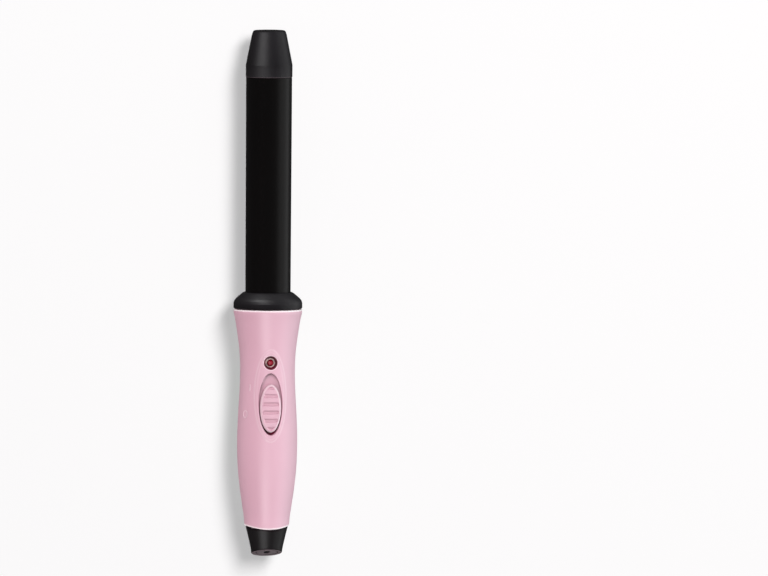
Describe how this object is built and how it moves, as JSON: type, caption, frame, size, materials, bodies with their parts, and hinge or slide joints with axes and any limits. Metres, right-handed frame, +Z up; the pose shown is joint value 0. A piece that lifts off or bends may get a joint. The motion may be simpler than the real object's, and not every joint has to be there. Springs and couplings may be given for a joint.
{
  "type": "curling wand",
  "caption": "Hand-held hair curling wand: round ceramic coated barrel with cool tip, collar, waisted handle with a sliding switch and power light, and a tapered end cap with a cord swivel.",
  "frame": {"origin": "under the middle of the wand's length, on the surface that the collar's lowest flat touches", "axes": "+Y along the wand towards the cool tip, +Z up through the switch, +X to the right seen from above with the tip away"},
  "size_m": [0.0286, 0.2184, 0.0285],
  "materials": {
    "barrel_coat": "black ceramic coat, satin",
    "charcoal_plastic": "satin moulded",
    "black_plastic": "satin moulded",
    "handle_pink": "soft satin, pale pink",
    "light_red": "clear red, polished",
    "steel": "zinc plated",
    "spreader_aluminium": "extruded",
    "heater_ceramic": "unglazed",
    "mount_plastic": "heat resistant moulding",
    "wire_sleeve": "silicone sleeve",
    "inner_plastic": "natural nylon",
    "board_laminate": "coated laminate",
    "brass": "plain"
  },
  "bodies": {
    "wand": {"barrel": "barrel_coat", "cool_tip": "charcoal_plastic", "tip_anchor_plate": "steel", "tip_anchor_screw": "steel", "heat_spreader_front": "spreader_aluminium", "heat_spreader_rear": "spreader_aluminium", "ceramic_heater": "heater_ceramic", "thermal_fuse": "heater_ceramic", "barrel_mount": "mount_plastic", "heater_lead_left": "wire_sleeve", "heater_lead_right": "wire_sleeve", "barrel_collar": "charcoal_plastic", "handle_front_shell": "handle_pink", "handle_rear_shell": "handle_pink", "handle_screw_front": "steel", "handle_screw_rear": "steel", "switch_body": "black_plastic", "circuit_board": "board_laminate", "board_screw_front": "steel", "board_screw_rear": "steel", "light_resistor": "heater_ceramic", "power_light": "light_red", "light_leg_left": "steel", "light_leg_right": "steel", "end_cap": "black_plastic", "brush_holder": "inner_plastic", "pin_brush": "brass", "ring_brush": "brass", "supply_wire_left": "wire_sleeve", "supply_wire_right": "wire_sleeve"},
    "switch": {"switch_knob": "handle_pink", "switch_lever": "inner_plastic"},
    "swivel": {"cord_swivel": "charcoal_plastic", "swivel_ring": "brass", "swivel_pin": "brass"}
  },
  "joints": [
    {"name": "switch_slide", "type": "slide", "parent": "wand", "child": "switch", "axis": [0, 1, 0], "range_m": [0, 0.004]},
    {"name": "cord_swivel_turn", "type": "hinge", "parent": "wand", "child": "swivel", "pos_m": [0, -0.10729, 0.01505], "axis": [0, -0.9636, 0.2672], "continuous": true}
  ]
}
